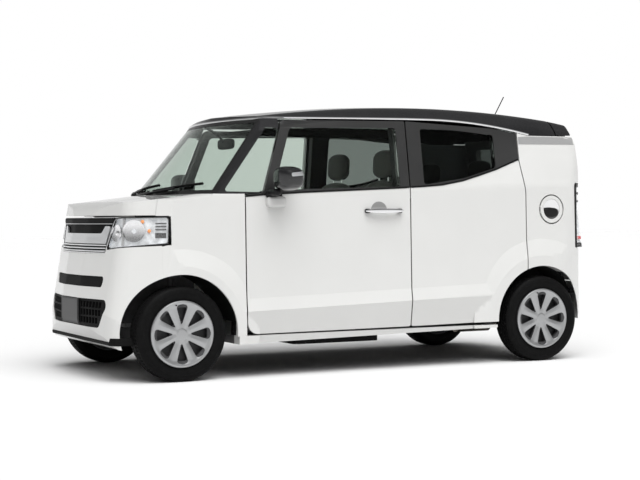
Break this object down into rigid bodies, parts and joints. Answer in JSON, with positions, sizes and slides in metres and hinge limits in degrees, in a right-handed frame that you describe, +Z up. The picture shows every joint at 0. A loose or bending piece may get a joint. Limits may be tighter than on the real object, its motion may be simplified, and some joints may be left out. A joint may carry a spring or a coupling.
{
  "type": "kei car",
  "caption": "Small tall city car with hinged doors, hood, tailgate and fuel lid, freely rolling covered wheels and coupled steering.",
  "frame": {"origin": "on the ground at mid length and mid width", "axes": "+X forward, +Y to the left side of the car, +Z up"},
  "size_m": [3.3944, 1.911, 1.7892],
  "materials": {
    "body_white": "gloss",
    "gloss_black": "gloss",
    "black_trim": "matte",
    "underbody": "satin",
    "glass_clear": "clear",
    "glass_dark": "privacy tint",
    "lamp_lens": "clear lens over a bright bowl",
    "grille_silver": "satin silver",
    "engine_metal": "cast",
    "exhaust_steel": "dull",
    "cabin_plastic": "grained",
    "seat_fabric": "woven",
    "knuckle_iron": "cast",
    "chrome_trim": "polished",
    "tyre": "matte",
    "cover_silver": "satin silver"
  },
  "bodies": {
    "body": {"floor_pan": "underbody", "front_pillars": "gloss_black", "centre_pillars": "gloss_black", "quarter_panels": "body_white", "roof": "gloss_black", "windscreen": "glass_clear", "quarter_glass": "glass_clear", "firewall": "underbody", "front_fenders": "body_white", "wheel_liners": "black_trim", "front_bumper": "body_white", "lower_grille": "black_trim", "grille": "grille_silver", "headlamps": "lamp_lens", "engine": "engine_metal", "front_frame": "underbody", "front_suspension": "underbody", "rear_axle": "underbody", "exhaust": "exhaust_steel", "fuel_tank": "black_trim", "dashboard": "cabin_plastic", "front_seats": "seat_fabric", "rear_seat": "seat_fabric", "antenna": "black_trim", "rear_bumper": "body_white", "tail_lamps": "lamp_lens"},
    "hood": {"hood": "body_white"},
    "fuel_lid": {"fuel_lid": "body_white"},
    "tailgate": {"tailgate": "body_white", "tailgate_glass": "glass_dark", "spoiler": "gloss_black"},
    "left_front_door": {"left_front_door": "body_white", "left_front_glass": "glass_clear", "left_mirror": "gloss_black", "left_handle": "chrome_trim"},
    "left_rear_door": {"left_rear_door": "body_white", "left_rear_glass": "glass_dark"},
    "right_front_door": {"right_front_door": "body_white", "right_front_glass": "glass_clear", "right_mirror": "gloss_black", "right_handle": "chrome_trim"},
    "right_rear_door": {"right_rear_door": "body_white", "right_rear_glass": "glass_dark"},
    "left_knuckle": {"left_knuckle": "knuckle_iron"},
    "right_knuckle": {"right_knuckle": "knuckle_iron"},
    "front_left_wheel": {"front_left_tyre": "tyre", "front_left_wheel": "cover_silver"},
    "front_right_wheel": {"front_right_tyre": "tyre", "front_right_wheel": "cover_silver"},
    "rear_left_wheel": {"rear_left_tyre": "tyre", "rear_left_wheel": "cover_silver"},
    "rear_right_wheel": {"rear_right_tyre": "tyre", "rear_right_wheel": "cover_silver"},
    "steering_wheel": {"steering_wheel": "cabin_plastic"}
  },
  "joints": [
    {"name": "hood_hinge", "type": "hinge", "parent": "body", "child": "hood", "pos_m": [1.085, 0, 1.04], "axis": [0, -1, 0], "range_deg": [0, 50]},
    {"name": "fuel_lid_hinge", "type": "hinge", "parent": "body", "child": "fuel_lid", "pos_m": [-1.273, 0.717, 0.993], "axis": [0, 0, -1], "range_deg": [0, 95]},
    {"name": "tailgate_hinge", "type": "hinge", "parent": "body", "child": "tailgate", "pos_m": [-1.4465, 0, 1.569], "axis": [0, 1, 0], "range_deg": [0, 80]},
    {"name": "left_front_door_hinge", "type": "hinge", "parent": "body", "child": "left_front_door", "pos_m": [0.794, 0.7025, 0.64], "axis": [0, 0, -1], "range_deg": [0, 70]},
    {"name": "left_rear_door_hinge", "type": "hinge", "parent": "body", "child": "left_rear_door", "pos_m": [-0.333, 0.7025, 0.64], "axis": [0, 0, -1], "range_deg": [0, 70]},
    {"name": "right_front_door_hinge", "type": "hinge", "parent": "body", "child": "right_front_door", "pos_m": [0.794, -0.7025, 0.64], "axis": [0, 0, 1], "range_deg": [0, 70]},
    {"name": "right_rear_door_hinge", "type": "hinge", "parent": "body", "child": "right_rear_door", "pos_m": [-0.333, -0.7025, 0.64], "axis": [0, 0, 1], "range_deg": [0, 70]},
    {"name": "left_steer", "type": "hinge", "parent": "body", "child": "left_knuckle", "pos_m": [1.25, 0.663, 0], "axis": [0, -0.225, 0.9744], "range_deg": [-33, 33]},
    {"name": "right_steer", "type": "hinge", "parent": "body", "child": "right_knuckle", "pos_m": [1.25, -0.663, 0], "axis": [0, 0.225, 0.9744], "range_deg": [-33, 33]},
    {"name": "front_left_spin", "type": "hinge", "parent": "left_knuckle", "child": "front_left_wheel", "pos_m": [1.25, 0.653, 0.278], "axis": [0, 1, 0], "continuous": true},
    {"name": "rear_left_spin", "type": "hinge", "parent": "body", "child": "rear_left_wheel", "pos_m": [-1.27, 0.653, 0.278], "axis": [0, 1, 0], "continuous": true},
    {"name": "front_right_spin", "type": "hinge", "parent": "right_knuckle", "child": "front_right_wheel", "pos_m": [1.25, -0.653, 0.278], "axis": [0, 1, 0], "continuous": true},
    {"name": "rear_right_spin", "type": "hinge", "parent": "body", "child": "rear_right_wheel", "pos_m": [-1.27, -0.653, 0.278], "axis": [0, 1, 0], "continuous": true},
    {"name": "steering_wheel_turn", "type": "hinge", "parent": "body", "child": "steering_wheel", "pos_m": [0.55, -0.335, 0.945], "axis": [-0.8829, 0, 0.4695], "range_deg": [-530, 530]}
  ],
  "couplings": [
    {"joint": "right_steer", "follows": "left_steer", "ratio": 1},
    {"joint": "steering_wheel_turn", "follows": "left_steer", "ratio": 16}
  ]
}
